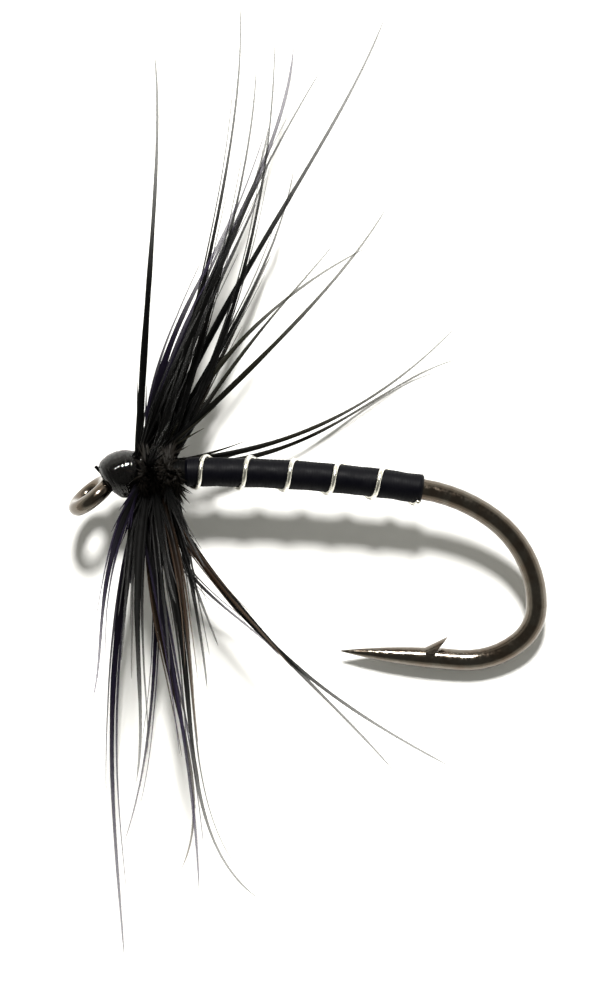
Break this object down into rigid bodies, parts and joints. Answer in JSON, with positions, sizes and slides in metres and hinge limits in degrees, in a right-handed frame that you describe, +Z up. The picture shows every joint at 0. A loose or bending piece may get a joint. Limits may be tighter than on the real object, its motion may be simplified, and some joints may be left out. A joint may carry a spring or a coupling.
{
  "type": "artificial fishing fly",
  "caption": "Sparse soft-hackled trout fly on a bronzed down-eyed barbed hook: black floss body, silver wire rib, black hackle collar and varnished thread head.",
  "frame": {"origin": "centre of the hole in the hook eye", "axes": "+X along the shank toward the bend, +Z up with the point hanging below the shank, -Y the near side"},
  "size_m": [0.0144, 0.0142, 0.028],
  "materials": {
    "bronzed_wire": "bronzed, polished under lacquer",
    "tying_thread": "waxed black thread",
    "body_floss": "black floss, slight sheen",
    "silver_wire": "bright drawn wire",
    "feather_quill": "dyed keratin quill",
    "hackle_fibre": "dyed black feather fibre, thin and part see-through at the tip",
    "clear_varnish": "clear head varnish, glossy over black thread"
  },
  "bodies": {
    "root": {"body_floss": "body_floss", "hackle_low_01": "hackle_fibre", "hackle_low_02": "hackle_fibre", "hackle_low_03": "hackle_fibre", "hackle_low_04": "hackle_fibre", "hackle_low_05": "hackle_fibre", "hackle_low_06": "hackle_fibre", "hackle_low_07": "hackle_fibre", "hackle_low_08": "hackle_fibre", "hackle_low_09": "hackle_fibre", "hackle_low_10": "hackle_fibre", "hackle_low_11": "hackle_fibre", "hackle_low_12": "hackle_fibre", "hackle_low_13": "hackle_fibre", "hackle_low_14": "hackle_fibre", "hackle_low_15": "hackle_fibre", "hackle_low_16": "hackle_fibre", "hackle_low_17": "hackle_fibre", "hackle_low_18": "hackle_fibre", "hackle_near_01": "hackle_fibre", "hackle_near_02": "hackle_fibre", "hackle_stem": "feather_quill", "hackle_swept_01": "hackle_fibre", "hackle_swept_02": "hackle_fibre", "hackle_swept_03": "hackle_fibre", "hackle_swept_04": "hackle_fibre", "hackle_swept_05": "hackle_fibre", "hackle_top_01": "hackle_fibre", "hackle_top_02": "hackle_fibre", "hackle_top_03": "hackle_fibre", "hackle_top_04": "hackle_fibre", "hackle_top_05": "hackle_fibre", "hackle_top_06": "hackle_fibre", "hackle_top_07": "hackle_fibre", "hackle_top_08": "hackle_fibre", "hackle_top_09": "hackle_fibre", "hackle_top_10": "hackle_fibre", "hackle_top_11": "hackle_fibre", "hackle_top_12": "hackle_fibre", "hackle_top_13": "hackle_fibre", "hackle_top_14": "hackle_fibre", "hackle_top_15": "hackle_fibre", "head_thread": "tying_thread", "head_varnish": "clear_varnish", "hook": "bronzed_wire", "rib_wire": "silver_wire", "thread_base": "tying_thread", "thread_tag": "tying_thread"}
  },
  "joints": []
}
